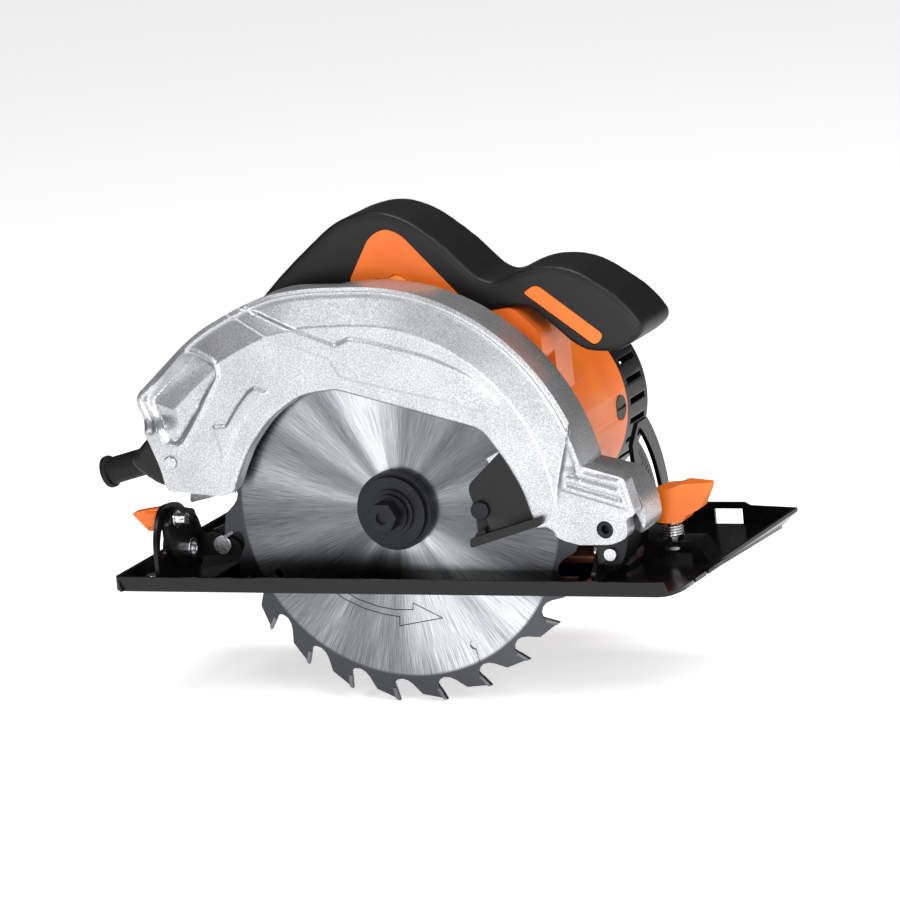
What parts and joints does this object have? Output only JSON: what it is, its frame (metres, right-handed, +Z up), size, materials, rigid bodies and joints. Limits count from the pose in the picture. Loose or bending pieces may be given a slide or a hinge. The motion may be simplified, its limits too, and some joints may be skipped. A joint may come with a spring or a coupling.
{
  "type": "circular_saw",
  "caption": "Hand-held circular saw with a toothed disc blade, swinging lower guard, cast upper guard, side motor, looped rear handle and a tilting, plunging pressed-steel sole.",
  "frame": {"origin": "underside of the sole, straight below the blade's axis at full depth, in the blade's mid-plane", "axes": "+X forwards along the cut, +Y from the blade side to the motor side, +Z up"},
  "size_m": [0.3271, 0.1726, 0.2272],
  "materials": {
    "black_paint": "glossy black paint on pressed steel sheet",
    "black_steel": "satin black powder coat on pressed steel",
    "zinc": "bright zinc-plated and turned steel",
    "dark_steel": "black oxide steel",
    "cast_aluminium": "shot-blasted, speckled die-cast aluminium",
    "orange_plastic": "moulded glass-filled nylon, fine texture",
    "orange_button": "moulded nylon, smoother than the housing",
    "black_plastic": "moulded nylon",
    "soft_grip": "soft-touch elastomer moulded over nylon",
    "rubber": "black rubber",
    "lamination": "stacked electrical steel",
    "brass": "drawn brass",
    "carbon": "pressed carbon",
    "copper": "turned copper segments",
    "gear_steel": "hobbed, hardened steel",
    "blade_steel": "ground steel with radial grinding marks",
    "carbide": "sintered tungsten carbide"
  },
  "bodies": {
    "base": {"base_plate": "black_paint", "front_quadrant": "black_steel", "rear_quadrant": "black_steel", "quadrant_rivets": "zinc", "bevel_pins": "zinc", "fence_screw": "zinc", "fence_spring": "zinc"},
    "tilt_frame": {"front_bracket": "black_steel", "rear_bracket": "black_steel", "depth_guide": "black_steel", "bracket_screw": "zinc", "depth_pin": "dark_steel", "bevel_studs": "zinc"},
    "saw_body": {"upper_guard": "cast_aluminium", "gear_case": "cast_aluminium", "bearing_retainer": "zinc", "retainer_screws": "dark_steel", "motor_housing": "orange_plastic", "motor_end_cap": "black_plastic", "end_cap_screws": "dark_steel", "fan_baffle": "black_plastic", "stator": "lamination", "brush_holders": "brass", "carbon_brushes": "carbon", "brush_caps": "black_plastic", "handle_near": "soft_grip", "handle_far": "soft_grip", "handle_screws": "zinc", "side_panels": "orange_plastic", "front_grip_panels": "orange_plastic", "switch_block": "black_plastic", "cord_sleeve": "rubber", "cord_clamp": "black_plastic", "depth_bolt": "zinc", "guard_screw": "zinc", "guard_bumper": "rubber", "return_spring": "zinc", "bearings": "zinc"},
    "spindle_set": {"spindle": "zinc", "drive_gear": "gear_steel", "inner_flange": "dark_steel", "blade": "blade_steel", "carbide_tips": "carbide", "outer_flange": "dark_steel", "blade_bolt": "dark_steel"},
    "armature": {"armature_shaft": "gear_steel", "armature_core": "lamination", "commutator": "copper", "cooling_fan": "black_plastic"},
    "blade_guard": {"lower_guard": "cast_aluminium", "guard_lever": "black_plastic", "lever_screw": "dark_steel"},
    "trigger": {"trigger": "black_plastic"},
    "lock_off": {"lock_off_button": "orange_button"},
    "spindle_lock": {"spindle_lock": "black_plastic"},
    "depth_lever": {"depth_lever": "black_plastic"},
    "bevel_knob": {"bevel_knob": "orange_plastic"},
    "bevel_nut": {"bevel_nut": "zinc"},
    "fence_knob": {"fence_knob": "orange_plastic"}
  },
  "joints": [
    {"name": "bevel_tilt", "type": "hinge", "parent": "base", "child": "tilt_frame", "pos_m": [0, 0.0035, 0.014], "axis": [1, 0, 0], "range_deg": [0, 45]},
    {"name": "depth_swing", "type": "hinge", "parent": "tilt_frame", "child": "saw_body", "pos_m": [0.1084, 0, 0.0288], "axis": [0, 1, 0], "range_deg": [0, 32]},
    {"name": "blade_spin", "type": "hinge", "parent": "saw_body", "child": "spindle_set", "pos_m": [0, 0, 0.0345], "axis": [0, -1, 0], "continuous": true},
    {"name": "armature_spin", "type": "hinge", "parent": "saw_body", "child": "armature", "pos_m": [0.02468, 0, 0.05752], "axis": [0, -1, 0], "continuous": true},
    {"name": "guard_swing", "type": "hinge", "parent": "saw_body", "child": "blade_guard", "pos_m": [0, 0, 0.0345], "axis": [0, -1, 0], "range_deg": [0, 165]},
    {"name": "trigger_pull", "type": "slide", "parent": "saw_body", "child": "trigger", "axis": [-0.7071, 0, 0.7071], "range_m": [0, 0.006], "stiffness_N_per_m": 500},
    {"name": "lock_off_press", "type": "slide", "parent": "saw_body", "child": "lock_off", "axis": [0, 1, 0], "range_m": [-0.0025, 0.0025], "stiffness_N_per_m": 600},
    {"name": "spindle_lock_press", "type": "slide", "parent": "saw_body", "child": "spindle_lock", "axis": [-1, 0, 0], "range_m": [0, 0.003], "stiffness_N_per_m": 800},
    {"name": "depth_clamp", "type": "hinge", "parent": "saw_body", "child": "depth_lever", "pos_m": [-0.05086, 0.02, 0.04414], "axis": [0, 1, 0], "range_deg": [0, 30]},
    {"name": "bevel_knob_turn", "type": "hinge", "parent": "tilt_frame", "child": "bevel_knob", "pos_m": [-0.125, -0.00667, 0.03028], "axis": [1, 0, 0], "range_deg": [0, 180]},
    {"name": "bevel_nut_turn", "type": "hinge", "parent": "tilt_frame", "child": "bevel_nut", "pos_m": [0.096, 0.06346, 0.01609], "axis": [1, 0, 0], "range_deg": [0, 180]},
    {"name": "fence_knob_turn", "type": "hinge", "parent": "base", "child": "fence_knob", "pos_m": [0.1195, 0.038, 0.025], "axis": [0, 0, 1], "range_deg": [0, 90]}
  ],
  "couplings": [
    {"joint": "armature_spin", "follows": "blade_spin", "ratio": -3.9091}
  ]
}
